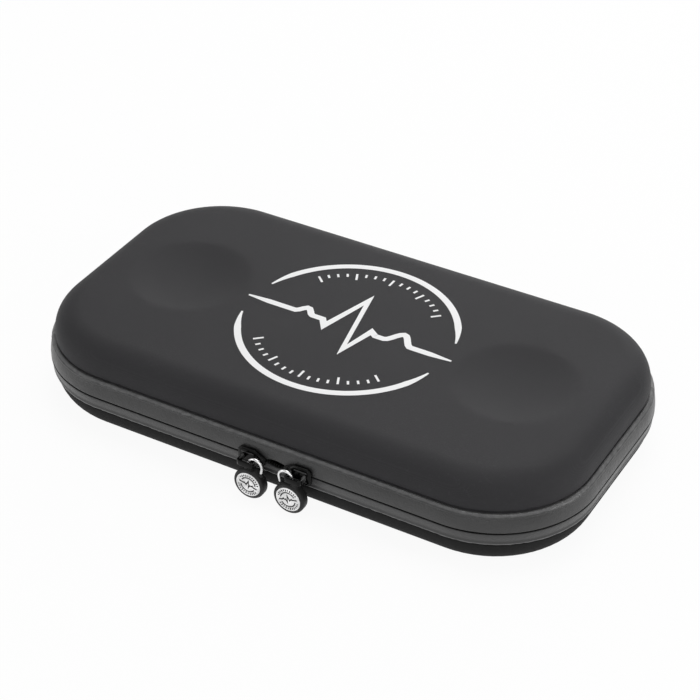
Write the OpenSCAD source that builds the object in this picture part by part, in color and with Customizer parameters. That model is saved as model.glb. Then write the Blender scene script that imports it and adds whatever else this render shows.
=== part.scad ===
// Zipped hard case for a stethoscope: two moulded foam shells covered in fabric, joined at the
// back by a soft spine and closed round the other sides by a reversed coil zip with two sliders.
// Millimetres. Origin at the centre of the underside, +X along the case, -Y to the front, +Z up.

/* [Case] */
// Length at the zip line
case_length = 290; // [250:1:330]
// Width from front to back at the zip line
case_width = 161; // [140:1:185]
// Plan radius of the corners at the zip line
corner_radius = 52; // [46:1:58]
// Height of the base from its underside to the zip line
base_height = 20.5; // [19:0.5:32]
// Height of the lid from the zip line to its top
lid_height = 25; // [24:0.5:36]

/* [Shells] */
// Thickness of the moulded foam and its cover
shell_wall = 3.6; // [3:0.1:4.2]
// Thickness of the lining fabric
lining_wall = 0.8; // [0.5:0.1:1.2]
// How far the lid's shoulder curves in from the wall
lid_shoulder = 14.5; // [12:0.5:18]
// How far the base's lower edge curves in
base_shoulder = 8; // [7:0.5:11]
// How far the base's wall leans in
base_draft = 2.6; // [1:0.1:4]
// Squareness of the shoulders, 2 being an ellipse
shoulder_power = 2.2; // [2:0.1:2.8]
// Distance of the shells' cut rims from the zip line
rim_gap = 5.4; // [5.2:0.1:6]
// Height of the groove in which the tape is sewn to a shell
seam_groove = 0.7; // [0.4:0.1:1]
// Height over which the shell rises out of the groove
seam_swell = 0.9; // [0.6:0.1:1.5]

/* [Lid dishes] */
// Diameter of the two round dishes in the lid
dish_diameter = 59; // [45:1:64]
// Depth of the dishes
dish_depth = 3; // [2:0.25:4]
// Distance between the centres of the dishes
dish_spacing = 180; // [150:1:186]

/* [Zip] */
// Thickness of the coated tape
tape_wall = 0.9; // [0.6:0.1:1]
// Height of the tape above the zip line
lid_tape_height = 10.2; // [9:0.1:11.5]
// How far the tape leans in at the lid's seam
lid_tape_lean = 2.9; // [2:0.1:3.4]
// Height of the tape below the zip line
base_tape_height = 6.9; // [6.5:0.1:8.5]
// How far the tape leans in at the base's seam
base_tape_lean = 1.7; // [1.2:0.1:2.2]
// Gap between the edges of the two tapes
zip_gap = 1; // [0.9:0.1:1.3]
// Height of one side's coil
coil_height = 2.6; // [2.2:0.1:2.8]
// Depth of the coil from front to back
coil_depth = 2.1; // [1.8:0.1:2.4]
// Distance from one turn of the coil to the next
coil_pitch = 2.2; // [2:0.1:3]
// Depth of the grooves between the turns
coil_groove = 0.6; // [0.3:0.1:0.8]
// Gap between the tape's outer face and the coil
coil_setback = 1.35; // [1.3:0.05:1.6]

/* [Sliders] */
// Middle of the pair of sliders along the front
pair_centre = 8.3; // [-20:0.1:20]
// Distance between the two sliders
slider_spacing = 24.6; // [24:0.1:60]
// Length of a slider
slider_length = 14.4; // [13:0.1:16]
// Height of the slider's outer plate
plate_height = 9.6; // [9:0.1:9.8]
// Thickness of the slider's outer plate
plate_wall = 1.65; // [1.4:0.05:2]
// Height of the slider's inner plate
inner_plate_height = 9; // [8:0.1:9.6]
// Thickness of the slider's inner plate
inner_plate_wall = 1.5; // [1:0.1:1.8]
// Clearance between the outer plate and the tapes
plate_clearance = 0.25; // [0.2:0.05:0.5]
// Clearance between the inner plate and the coils
coil_clearance = 1.05; // [0.9:0.05:1.3]
// Clearance between the web and each tape edge
web_clearance = 0.1; // [0.1:0.05:0.2]
// Length of the web that joins the plates
web_length = 4.2; // [3:0.1:6]

/* [Crowns] */
// Clear depth of the eye under the crown
eye_depth = 4.6; // [4.4:0.1:5.5]
// Thickness of the crown's strap
crown_wall = 1.1; // [0.8:0.1:1.6]
// Width of the crown's strap
crown_width = 2.8; // [2.4:0.1:2.9]
// Width of the crown's two feet
foot_width = 2.4; // [1.8:0.1:2.6]
// Length of each foot along the zip
foot_length = 1.2; // [1:0.1:1.4]
// Depth to which the feet are set in the plate
foot_depth = 0.8; // [0.5:0.1:1.1]
// Reach of the crown towards the slider's tail
crown_tail = 4.8; // [4.4:0.1:5.4]
// Reach of the crown towards the slider's mouth
crown_mouth = 4; // [3.8:0.1:4.4]

/* [Pulls] */
// Diameter of the pull's wire
wire_diameter = 1.4; // [1.1:0.1:1.5]
// Clearance between the wire and the crown's strap
wire_clearance = 0.8; // [0.8:0.05:1.2]
// Distance between the two legs of the wire
leg_spacing = 7.2; // [7:0.1:8]
// Place along the slider of the leg that runs through the eye
eye_leg = 0.6; // [0.3:0.1:0.9]
// Height of the wire's bend above the zip line
bend_rise = 0.1; // [0:0.1:0.5]
// Angle at which the pull hangs
pull_lean = 14; // [8:1:16]
// Diameter of the rubber disc
pull_diameter = 16.2; // [14:0.1:16.4]
// Thickness of the rubber disc
pull_wall = 5.2; // [4.5:0.1:5.4]
// Distance from the wire's bend to the middle of the disc
pull_drop = 10.6; // [10.4:0.1:11]
// Radius of the disc's rounded edge
pull_edge = 1.4; // [0.8:0.1:1.8]
// Depth to which the legs are moulded into the disc
leg_depth = 4.5; // [3:0.1:5]
// Clearance of the legs in the disc
leg_clearance = 0.05; // [0.02:0.01:0.1]
// Diameter of the inlaid badge
badge_diameter = 13.2; // [11:0.1:13.3]
// Thickness of the inlaid badge
badge_wall = 0.9; // [0.5:0.1:1.2]
// Height of the badge's raised ring
badge_ring_rise = 0.2; // [0.1:0.05:0.25]
// Width of the badge's raised ring
badge_ring = 1.3; // [0.8:0.1:2]

/* [Inside] */
// Thickness of the ribbon that binds the rims
binding_wall = 0.5; // [0.3:0.05:0.6]
// Height of the ribbon inside the lid's rim
lid_binding_height = 5.2; // [3:0.1:6]
// Height of the ribbon inside the base's rim
base_binding_height = 5.2; // [3:0.1:5.5]
// Width of the ribbon that holds the pocket's edge
pocket_binding_width = 7; // [5:0.5:10]
// Thickness of the pocket's ribbon and of its net
pocket_wall = 0.8; // [0.5:0.1:1.2]
// Distance of the pocket's open edge from the lid's front
pocket_mouth = 52; // [48:1:70]
// Width of the pocket's elastic hem
hem_width = 6; // [4:0.5:10]
// Thickness of the pocket's elastic hem
hem_wall = 1.8; // [1.2:0.1:2.4]
// Clearance of the net from the lining
net_clearance = 0.3; // [0.2:0.05:0.6]
// Width of the elastic strap on the base's floor
strap_width = 25; // [15:1:38]
// Length of the elastic strap
strap_length = 112; // [80:1:118]
// Thickness of the elastic strap
strap_wall = 1.5; // [1:0.1:2]
// Thickness of the strap's stitched ends
strap_end_wall = 2.3; // [2.1:0.1:3]
// Length of each stitched end
strap_end = 12; // [8:1:20]

/* [Hidden] */
$fn = 64;

eps = 0.01;
// Centres of the corner arcs
cx = case_length / 2 - corner_radius;
cy = case_width / 2 - corner_radius;
front = case_width / 2;
steps = 8;

// Inset of the bulging tape at a height above or below the zip line
function bulge(h, tall, lean) =
    let (r = (tall * tall + lean * lean) / (2 * lean)) r - sqrt(r * r - h * h);
// Point of a shoulder curve: inset and height at t from 0 to 90 degrees
function shoulder(inset, start, reach, rise, lean, t) =
    let (s = pow(sin(t), 2 / shoulder_power), c = pow(cos(t), 2 / shoulder_power))
    [inset + lean * s + reach * (1 - c), start + rise * s];
// A profile of [inset, height] points as [distance from the corner's centre, height]
function swept(points, flip = 1) = [for (p = points) [corner_radius - p[0], flip * p[1]]];
function reversed(list) = [for (i = [len(list) - 1 : -1 : 0]) list[i]];

lid_heights = [zip_gap / 2, 2, 3.6, rim_gap, (rim_gap + lid_tape_height) / 2, lid_tape_height];
base_heights = [zip_gap / 2, 2, 3.6, rim_gap, base_tape_height];
lid_wall_inset = lid_tape_lean + 0.1;
lid_wall_start = lid_tape_height + seam_groove + seam_swell;
lid_rise = lid_height - lid_wall_start;
base_wall_inset = base_tape_lean + 0.1;
base_wall_start = base_tape_height + seam_groove + seam_swell;
base_rise = base_height - base_wall_start;
// Depth below the zip line at which the base's inner face starts to curve
base_inner_start = rim_gap + base_binding_height + 0.4;

// Faces of the zip, measured outwards from the front of the tape
coil_front = -coil_setback;
coil_back = coil_front - coil_depth;
inner_plate_face = coil_back - coil_clearance;
plate_face = plate_clearance + plate_wall;
pull_plane = plate_face + eye_depth - wire_clearance - wire_diameter / 2;
crown_face = plate_face + eye_depth + crown_wall;
bend_radius = leg_spacing / 2;
pocket_level = rim_gap + lid_binding_height;

// The outer, tape-backed part of a shell's profile, from its rim to the groove
function lid_rim() = [for (i = [3 : 5]) [bulge(lid_heights[i], lid_tape_height, lid_tape_lean)
    + tape_wall, lid_heights[i]]];
function base_rim() = [for (i = [3 : 4]) [bulge(base_heights[i], base_tape_height, base_tape_lean)
    + tape_wall, base_heights[i]]];
function lid_outer() = concat(lid_rim(),
    [[lid_tape_lean + tape_wall, lid_tape_height + seam_groove]],
    [for (i = [0 : steps]) shoulder(lid_wall_inset, lid_wall_start, lid_shoulder, lid_rise,
        0, 90 * i / steps)]);
function base_outer() = concat(base_rim(),
    [[base_tape_lean + tape_wall, base_tape_height + seam_groove]],
    [for (i = [0 : steps]) shoulder(base_wall_inset, base_wall_start, base_shoulder, base_rise,
        base_draft, 90 * i / steps)]);
// The inner face at a depth from the outer one, from the rim to the flat
function lid_inner(wall) = concat([[lid_wall_inset + wall, rim_gap]],
    [for (i = [0 : steps]) shoulder(lid_wall_inset + wall, lid_wall_start,
        lid_shoulder - wall, lid_rise - wall, 0, 90 * i / steps)]);
function base_inner(wall) = concat([[base_wall_inset + wall, rim_gap]],
    [for (i = [0 : steps]) shoulder(base_wall_inset + wall, base_inner_start,
        base_shoulder + base_draft - wall + 2, base_height - wall - base_inner_start, 0,
        90 * i / steps)]);

// Sweeps a profile round the case. back = false leaves out the straight at the back.
module round_case(back = true) {
    for (a = [0, 1, 2, 3])
        translate([(a == 0 || a == 3) ? cx : -cx, a < 2 ? cy : -cy, 0])
            rotate([0, 0, 90 * a]) rotate_extrude(angle = 90) children();
    for (s = [-1, 1])
        if (s < 0 || back) scale_y(s)
            translate([-cx, cy, 0]) rotate([90, 0, 90]) linear_extrude(2 * cx) children();
    for (s = [0, 1])
        mirror([s, 0, 0]) translate([cx, cy, 0]) rotate([90, 0, 0]) linear_extrude(2 * cy)
            children();
}

module scale_y(s) {
    if (s < 0) mirror([0, 1, 0]) children();
    else children();
}

// A rounded plate in the case's plan at an inset from the zip line
module plan_plate(inset, low, high) {
    r = corner_radius - inset;
    translate([-cx, -cy - r, low]) cube([2 * cx, 2 * (cy + r), high - low]);
    translate([-cx - r, -cy, low]) cube([2 * (cx + r), 2 * cy, high - low]);
    for (sx = [-1, 1], sy = [-1, 1])
        translate([sx * cx, sy * cy, low]) cylinder(h = high - low, r = r);
}

// A closed tray: the swept wall and edge, and the flat between the corner centres.
// The lists run from the rim to the flat, outer face first.
module tray(outer, inner, flip) {
    flat_out = outer[len(outer) - 1][1];
    flat_in = inner[len(inner) - 1][1];
    round_case() polygon(swept(concat(outer, [[corner_radius, flat_out],
        [corner_radius, flat_in]], reversed(inner)), flip));
    low = flip > 0 ? flat_in : -flat_out;
    translate([-cx, -cy, low]) cube([2 * cx, 2 * cy, flat_out - flat_in]);
}

dish_radius = (dish_diameter * dish_diameter / 4 + dish_depth * dish_depth) / (2 * dish_depth);

// The ball that a dish is cut with, grown by a wall
module dish_balls(grow) {
    for (s = [-1, 1])
        translate([s * dish_spacing / 2, 0, lid_height - dish_depth + dish_radius])
            sphere(r = dish_radius + grow, $fn = 180);
}

// The backs of the dishes, below a flat at the given depth
module dish_backs(grow, wall) {
    intersection() {
        dish_balls(grow);
        translate([-case_length / 2, -dish_diameter / 2 - 5, lid_height - grow - dish_depth - 1])
            cube([case_length, dish_diameter + 10, dish_depth + 1 + wall]);
    }
}

module at_zip() { translate([0, 0, base_height]) children(); }

module base_shell() {
    color([0.16, 0.16, 0.17]) at_zip() tray(base_outer(), base_inner(shell_wall), -1);
}

module base_lining() {
    color([0.22, 0.22, 0.24]) at_zip()
        tray(base_inner(shell_wall), base_inner(shell_wall + lining_wall), -1);
}

module lid_shell() {
    color([0.24, 0.24, 0.25]) at_zip() difference() {
        union() {
            tray(lid_outer(), lid_inner(shell_wall), 1);
            dish_backs(shell_wall, shell_wall / 2);
        }
        dish_balls(0);
    }
}

module lid_lining() {
    color([0.22, 0.22, 0.24]) at_zip() difference() {
        union() {
            tray(lid_inner(shell_wall), lid_inner(shell_wall + lining_wall), 1);
            dish_backs(shell_wall + lining_wall, lining_wall / 2);
        }
        dish_balls(shell_wall);
    }
}

// Ribbon folded over a shell's rim and down the face of its lining
module binding(rim, inner_inset, tall, flip) {
    round_case() polygon(swept([
        [rim[0][0] + 0.4, rim_gap - binding_wall], [rim[0][0] + 0.4, rim_gap],
        [inner_inset, rim_gap], [inner_inset, rim_gap + tall],
        [inner_inset + binding_wall, rim_gap + tall],
        [inner_inset + binding_wall, rim_gap - binding_wall]], flip));
}

module base_binding() {
    color([0.1, 0.1, 0.11]) at_zip()
        binding(base_rim(), base_wall_inset + shell_wall + lining_wall, base_binding_height, -1);
}

module lid_binding() {
    color([0.1, 0.1, 0.11]) at_zip()
        binding(lid_rim(), lid_wall_inset + shell_wall + lining_wall, lid_binding_height, 1);
}

function tape_line(heights, tall, lean, depth) =
    [for (h = heights) [bulge(h, tall, lean) + depth, h]];

module zip_tape(heights, tall, lean, flip) {
    round_case(false) polygon(swept(concat(tape_line(heights, tall, lean, 0),
        reversed(tape_line(heights, tall, lean, tape_wall))), flip));
}

module base_zip_tape() {
    color([0.3, 0.3, 0.31]) at_zip()
        zip_tape(base_heights, base_tape_height, base_tape_lean, -1);
}

module lid_zip_tape() {
    color([0.3, 0.3, 0.31]) at_zip() zip_tape(lid_heights, lid_tape_height, lid_tape_lean, 1);
}

// The coil follows the zip line from one end of the spine round to the other
coil_radius = corner_radius - coil_setback;
function run_length(i) = i == 3 ? 2 * cx : (i == 1 || i == 5) ? 2 * cy : PI / 2 * coil_radius;
function run_start(i) = i == 0 ? 0 : run_start(i - 1) + run_length(i - 1);
function run_at(s, i = 0) = (i == 6 || s <= run_start(i) + run_length(i)) ? i : run_at(s, i + 1);
function on_arc(mid, a, off) = mid + (coil_radius - off) * [cos(a), sin(a)];
function zip_point(s, off) =
    let (i = run_at(s), t = s - run_start(i), a = t / coil_radius * 180 / PI)
    i == 0 ? on_arc([-cx, cy], 90 + a, off) :
    i == 1 ? [-cx - coil_radius + off, cy - t] :
    i == 2 ? on_arc([-cx, -cy], 180 + a, off) :
    i == 3 ? [-cx + t, -cy - coil_radius + off] :
    i == 4 ? on_arc([cx, -cy], 270 + a, off) :
    i == 5 ? [cx + coil_radius - off, -cy + t] : on_arc([cx, cy], a, off);
coil_length = run_start(6) + run_length(6);
turns = floor(coil_length / coil_pitch);
function coil_plan() = concat(
    [for (i = [0 : 6]) for (k = [0 : (i % 2 == 0 ? 13 : 0)])
        zip_point(run_start(i) + run_length(i) * k / 14, 0)],
    [zip_point(coil_length, 0)],
    [for (k = [turns - 1 : -1 : 0]) for (q = [0.75, 0.25])
        zip_point((k + q) * coil_length / turns, q > 0.5 ? coil_depth - coil_groove : coil_depth)],
    [zip_point(0, coil_depth - coil_groove)]);

module zip_coil() { linear_extrude(coil_height) polygon(coil_plan()); }

module base_zip_coil() {
    color([0.08, 0.08, 0.09]) translate([0, 0, base_height - zip_gap / 2 - coil_height])
        zip_coil();
}

module lid_zip_coil() {
    color([0.08, 0.08, 0.09]) translate([0, 0, base_height + zip_gap / 2]) zip_coil();
}

// The strip on which the lid swings, in line with the tapes
module hinge_spine() {
    lid_part = reversed(tape_line(lid_heights, lid_tape_height, lid_tape_lean, 0));
    base_part = tape_line(base_heights, base_tape_height, base_tape_lean, 0);
    outer = concat(lid_part, [for (p = base_part) [p[0], -p[1]]]);
    inner = [for (p = reversed(outer)) [p[0] + tape_wall, p[1]]];
    color([0.3, 0.3, 0.31]) at_zip() translate([-cx, cy, 0]) rotate([90, 0, 90])
        linear_extrude(2 * cx) polygon(swept(concat(outer, inner)));
}

floor_level = shell_wall + lining_wall;

module elastic_strap() {
    color([0.12, 0.12, 0.13]) translate([0, 0, floor_level]) {
        translate([-strap_width / 2, -strap_length / 2, 0])
            cube([strap_width, strap_length, strap_wall]);
        for (s = [-1, 1])
            translate([-strap_width / 2, s * (strap_length / 2 - strap_end / 2) - strap_end / 2, 0])
                cube([strap_width, strap_end, strap_end_wall]);
    }
}

mouth_line = -front + pocket_mouth;
net_inset = lid_wall_inset + shell_wall + lining_wall;

module pocket_net() {
    color([0.2, 0.2, 0.21]) at_zip() intersection() {
        plan_plate(net_inset + net_clearance, pocket_level + pocket_wall,
            pocket_level + 2 * pocket_wall);
        translate([-case_length, mouth_line, 0]) cube([2 * case_length, case_width, lid_height]);
    }
}

module pocket_binding() {
    color([0.1, 0.1, 0.11]) at_zip() intersection() {
        difference() {
            plan_plate(net_inset, pocket_level, pocket_level + pocket_wall);
            plan_plate(net_inset + pocket_binding_width, pocket_level - 1,
                pocket_level + pocket_wall + 1);
        }
        translate([-case_length, mouth_line, 0]) cube([2 * case_length, case_width, lid_height]);
    }
}

module pocket_hem() {
    hem_mid = pocket_level + pocket_wall * 1.5;
    color([0.1, 0.1, 0.11]) at_zip() intersection() {
        plan_plate(net_inset + net_clearance, hem_mid - hem_wall / 2, hem_mid + hem_wall / 2);
        translate([-case_length, mouth_line - hem_width, 0])
            cube([2 * case_length, hem_width, lid_height]);
    }
}

// A slider stands at its middle on the zip line with its mouth towards +X.
// Here y runs inwards from the front of the tape, so outward faces are negative.
module plate_outline(inset) {
    l = slider_length / 2 - inset;
    h = plate_height / 2 - inset;
    polygon([[-l, -h * 0.68], [-l, h * 0.68], [-l * 0.76, h], [l * 0.24, h], [l, h * 0.34],
        [l, -h * 0.34], [l * 0.24, -h], [-l * 0.76, -h]]);
}

module upright(from, to) {
    translate([0, -from, 0]) rotate([90, 0, 0]) linear_extrude(to - from) children();
}

module feet() {
    for (x = [-crown_tail, crown_mouth - foot_length])
        translate([x, -plate_face - eps, -foot_width / 2])
            cube([foot_length, foot_depth + eps, foot_width]);
}

lip_front = bulge(inner_plate_height / 2, base_tape_height, base_tape_lean) + tape_wall
    + plate_clearance;

module slider_body() {
    color([0.07, 0.07, 0.08]) difference() {
        union() {
            upright(plate_clearance, plate_face - 0.45) plate_outline(0);
            upright(plate_face - 0.45, plate_face) plate_outline(0.9);
            // Web between the tapes, at the mouth
            translate([slider_length / 2 - web_length - 0.6, -plate_clearance - 0.3,
                -zip_gap / 2 + web_clearance])
                cube([web_length, plate_clearance + 0.3 - inner_plate_face + 0.3,
                    zip_gap - 2 * web_clearance]);
            translate([-slider_length / 2, -inner_plate_face, -inner_plate_height / 2])
                cube([slider_length - 0.6, inner_plate_wall, inner_plate_height]);
            // Lip that holds the base's coil
            translate([-slider_length / 2, lip_front, -inner_plate_height / 2])
                cube([slider_length - 2, -inner_plate_face - lip_front + 0.3, 0.7]);
        }
        feet();
    }
}

function corner(mid, r, from, to) =
    [for (i = [0 : 4]) mid + r * [cos(from + (to - from) * i / 4), sin(from + (to - from) * i / 4)]];

module crown() {
    top = crown_face;
    r = 1.6;
    under = plate_face + eye_depth;
    color([0.1, 0.1, 0.11]) {
        translate([0, 0, -crown_width / 2]) linear_extrude(crown_width)
            mirror([0, 1]) difference() {
                polygon(concat([[-crown_tail, plate_face + 1.6]],
                    corner([-crown_tail + r, top - r], r, 180, 90),
                    corner([crown_mouth - r, top - r], r, 90, 0),
                    [[crown_mouth, plate_face + 1.6]]));
                polygon(concat([[-crown_tail + foot_length, plate_face]],
                    corner([-crown_tail + foot_length + 0.7, under - 0.7], 0.7, 180, 90),
                    corner([crown_mouth - foot_length - 0.7, under - 0.7], 0.7, 90, 0),
                    [[crown_mouth - foot_length, plate_face]]));
            }
        for (x = [-crown_tail, crown_mouth - foot_length])
            translate([x, -plate_face - 1.7, -foot_width / 2])
                cube([foot_length, 1.7 + foot_depth, foot_width]);
    }
}

// The pull hangs by the leg that runs through the eye. Its own frame has z along that leg.
module hung() {
    translate([eye_leg, -pull_plane, 0]) rotate([0, pull_lean, 0]) children();
}

disc_mid = [bend_radius, 0, bend_rise - pull_drop];
leg_end = -sqrt(pull_diameter * pull_diameter / 4 - bend_radius * bend_radius) + leg_depth;

module pull_wire() {
    r = wire_diameter / 2;
    color([0.85, 0.85, 0.87]) hung() {
        for (x = [0, leg_spacing])
            translate([x, 0, disc_mid[2] - leg_end]) cylinder(h = bend_rise - disc_mid[2] + leg_end,
                r = r, $fn = 24);
        translate([bend_radius, 0, bend_rise]) rotate([90, 0, 0])
            rotate_extrude(angle = 180, $fn = 48) translate([bend_radius, 0])
                circle(r = r, $fn = 24);
    }
}

module disc_body() {
    h = pull_wall / 2;
    r = pull_diameter / 2;
    rotate([90, 0, 0]) rotate_extrude($fn = 96) polygon(concat([[0, -h]],
        corner([r - pull_edge, -h + pull_edge], pull_edge, -90, 0),
        corner([r - pull_edge, h - pull_edge], pull_edge, 0, 90), [[0, h]]));
}

module pull_disc() {
    color([0.09, 0.09, 0.1]) hung() difference() {
        translate(disc_mid) disc_body();
        for (x = [0, leg_spacing])
            translate([x, 0, disc_mid[2] - leg_end]) cylinder(h = pull_diameter,
                r = wire_diameter / 2 + leg_clearance, $fn = 24);
        translate(disc_mid) rotate([90, 0, 0]) translate([0, 0, pull_wall / 2 - badge_wall])
            cylinder(h = 2, d = badge_diameter, $fn = 96);
    }
}

module pull_badge() {
    h = pull_wall / 2;
    color([0.93, 0.93, 0.93]) hung() translate(disc_mid) rotate([90, 0, 0]) difference() {
        translate([0, 0, h - badge_wall]) cylinder(h = badge_wall, d = badge_diameter, $fn = 96);
        translate([0, 0, h - badge_ring_rise]) difference() {
            cylinder(h = 1, d = badge_diameter - 2 * badge_ring, $fn = 96);
            translate([0, 0, -1]) cylinder(h = 3, d = badge_diameter - 4 * badge_ring, $fn = 96);
        }
    }
}

module on_left() {
    translate([pair_centre - slider_spacing / 2, -front, base_height]) children();
}
module on_right() {
    translate([pair_centre + slider_spacing / 2, -front, base_height]) mirror([1, 0, 0])
        children();
}

module left_slider() { on_left() slider_body(); }
module left_crown() { on_left() crown(); }
module left_pull_wire() { on_left() pull_wire(); }
module left_pull_disc() { on_left() pull_disc(); }
module left_pull_badge() { on_left() pull_badge(); }
module right_slider() { on_right() slider_body(); }
module right_crown() { on_right() crown(); }
module right_pull_wire() { on_right() pull_wire(); }
module right_pull_disc() { on_right() pull_disc(); }
module right_pull_badge() { on_right() pull_badge(); }

base_shell();
base_lining();
base_binding();
base_zip_tape();
base_zip_coil();
hinge_spine();
elastic_strap();
lid_shell();
lid_lining();
lid_binding();
lid_zip_tape();
lid_zip_coil();
pocket_net();
pocket_hem();
pocket_binding();
left_slider();
left_crown();
left_pull_wire();
left_pull_disc();
left_pull_badge();
right_slider();
right_crown();
right_pull_wire();
right_pull_disc();
right_pull_badge();
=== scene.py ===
import bpy
import bmesh
from math import atan2, cos, pi, radians, sin, sqrt, tau
from mathutils import Matrix, Vector, noise


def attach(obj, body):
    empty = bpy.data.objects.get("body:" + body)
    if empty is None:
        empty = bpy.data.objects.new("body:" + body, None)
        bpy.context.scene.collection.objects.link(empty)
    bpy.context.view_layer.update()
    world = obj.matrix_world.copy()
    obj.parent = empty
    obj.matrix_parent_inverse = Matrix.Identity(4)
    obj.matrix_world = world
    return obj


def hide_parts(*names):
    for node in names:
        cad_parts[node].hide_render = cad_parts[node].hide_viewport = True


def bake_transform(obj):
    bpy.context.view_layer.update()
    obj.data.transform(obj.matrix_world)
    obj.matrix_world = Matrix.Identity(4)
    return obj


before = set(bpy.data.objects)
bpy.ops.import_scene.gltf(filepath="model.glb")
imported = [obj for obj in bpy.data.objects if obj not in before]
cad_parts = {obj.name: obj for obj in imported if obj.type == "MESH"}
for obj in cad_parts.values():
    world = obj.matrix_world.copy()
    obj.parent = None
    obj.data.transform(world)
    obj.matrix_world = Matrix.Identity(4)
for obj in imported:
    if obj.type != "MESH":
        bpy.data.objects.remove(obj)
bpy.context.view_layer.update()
print("frame loaded")

# Lengths are in millimetres with z = 0 at the zip line, until keepPiece scales them.
case = {
    "length": 290, "width": 161, "corner": 52,
    "above": 25, "below": 20.5,       # heights over and under the zip line
    "wall": 3.6, "lining": 0.8, "power": 2.2,
    "rim": 5.4,                       # where both shells' cut rims stop
    "behindTape": 0.95,               # how deep the covers' edges lie under the tapes
    "lidTape": (10.2, 2.9), "baseTape": (6.9, 1.7),   # height and lean of each tape
}
middleX = case["length"] / 2 - case["corner"]
middleY = case["width"] / 2 - case["corner"]
frontY = -case["width"] / 2
mm = 0.001

# direction outwards at the start, corner centre, and the run of each leg (None is a turn)
legs = {
    "right": (0, (1, -1), (0, 2 * middleY)),
    "backRight": (0, (1, 1), None),
    "back": (90, (1, 1), (-2 * middleX, 0)),
    "backLeft": (90, (-1, 1), None),
    "left": (180, (-1, 1), (0, -2 * middleY)),
    "frontLeft": (180, (-1, -1), None),
    "front": (270, (-1, -1), (2 * middleX, 0)),
    "frontRight": (270, (1, -1), None),
}
zipRoute = ["backLeft", "left", "frontLeft", "front", "frontRight", "right", "backRight"]
wholeRoute = zipRoute + ["back"]


def bulge(height, tape):
    # how far a tape leans in at a height over the zip line
    tall, lean = tape
    r = (tall * tall + lean * lean) / (2 * lean)
    return r - sqrt(r * r - height * height)


def shoulder(inset, start, reach, rise, lean=0, steps=14):
    # a superellipse quarter from a wall over into a flat face
    points = []
    for i in range(steps + 1):
        t = pi / 2 * i / steps
        s = sin(t) ** (2 / case["power"])
        c = max(cos(t), 0) ** (2 / case["power"])
        points.append((inset + lean * s + reach * (1 - c), start + rise * s))
    return points


def flatRun(inset, height, step=3.9):
    count = round((case["corner"] - inset) / step)
    return [(inset + (case["corner"] - inset) * (i + 1) / count, height) for i in range(count)]


def legLength(leg, inset=0):
    run = legs[leg][2]
    return abs(run[0] + run[1]) if run else pi / 2 * (case["corner"] - inset)


def routePoint(route, distance, inset):
    # place and outward direction at a distance along a route
    for leg in route:
        long = legLength(leg, inset)
        if distance <= long or leg == route[-1]:
            break
        distance -= long
    angle, (sx, sy), run = legs[leg]
    turn = radians(angle) + (0 if run else distance / (case["corner"] - inset))
    out = Vector((cos(turn), sin(turn), 0))
    place = Vector((sx * middleX, sy * middleY, 0)) + out * (case["corner"] - inset)
    if run:
        place += Vector((*run, 0)).normalized() * distance
    return place, out


legStarts, wayRound = {}, 0
for legName in wholeRoute:
    legStarts[legName] = wayRound
    wayRound += legLength(legName)


def alongAt(x, y):
    # distance round the case from the back left corner, measured on the zip line
    dx, dy = abs(x) - middleX, abs(y) - middleY
    if dx > 0 and dy > 0:
        leg = ("back" if y > 0 else "front") + ("Right" if x > 0 else "Left")
        first = radians(legs[leg][0])
        turn = (atan2((1 if y > 0 else -1) * dy, (1 if x > 0 else -1) * dx) - first) % tau
        return legStarts[leg] + case["corner"] * (turn if turn < pi else turn - tau)
    if dx > 0:
        return legStarts["left"] + middleY - y if x < 0 else legStarts["right"] + y + middleY
    return legStarts["back"] + middleX - x if y > 0 else legStarts["front"] + x + middleX


def sweepRound(profile, route, step=3.0, turns=16, closed=False, caps=False):
    # a bmesh with a profile of insets and heights swept along a route
    bm = bmesh.new()
    angle, (sx, sy), run = legs[route[0]]
    out = Vector((cos(radians(angle)), sin(radians(angle)), 0))
    centre = Vector((sx * middleX, sy * middleY, 0))
    across = bm.verts.layers.float.new("across")
    verts, travelled = [], 0
    for i, (inset, height) in enumerate(profile):
        if i:
            travelled += (Vector((inset, height)) - Vector(profile[i - 1])).length
        vert = bm.verts.new(centre + out * (case["corner"] - inset) + Vector((0, 0, height)))
        vert[across] = travelled
        verts.append(vert)
    pairs = list(zip(verts, verts[1:])) + ([(verts[-1], verts[0])] if closed else [])
    edges = [bm.edges.new(pair) for pair in pairs]
    if caps:
        bm.faces.new(verts)
    for leg in route:
        angle, (sx, sy), run = legs[leg]
        if run:
            count = max(1, round(legLength(leg) / step))
            move = Vector((*run, 0)) / count
            for _ in range(count):
                edges = extrudeStep(bm, edges, move)
        else:
            made = bmesh.ops.spin(bm, geom=edges, cent=(sx * middleX, sy * middleY, 0),
                                  axis=(0, 0, 1), angle=pi / 2, steps=turns)["geom_last"]
            edges = [g for g in made if isinstance(g, bmesh.types.BMEdge)]
    if caps:
        bmesh.ops.contextual_create(bm, geom=edges)
    return bm


def middleSlab(bm, height, step=3.0):
    nx, ny = round(2 * middleX / step), round(2 * middleY / step)
    matrix = Matrix.Translation((0, 0, height)) @ Matrix.Diagonal((middleX, middleY, 1, 1))
    bmesh.ops.create_grid(bm, x_segments=nx, y_segments=ny, size=1, matrix=matrix)


def addRouteUv(bm):
    across = bm.verts.layers.float.get("across")
    layer = bm.loops.layers.uv.new("along")
    bm.verts.index_update()
    runs = [alongAt(*vert.co.xy) for vert in bm.verts]
    for face in bm.faces:
        highest = max(runs[vert.index] for vert in face.verts)
        for loop in face.loops:
            run = runs[loop.vert.index]
            if highest - run > wayRound / 2:
                run += wayRound
            loop[layer].uv = (run * mm, loop.vert[across] * mm)


def merged(bm, distance=0.003):
    bmesh.ops.remove_doubles(bm, verts=bm.verts, dist=distance)
    outward(bm)


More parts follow.
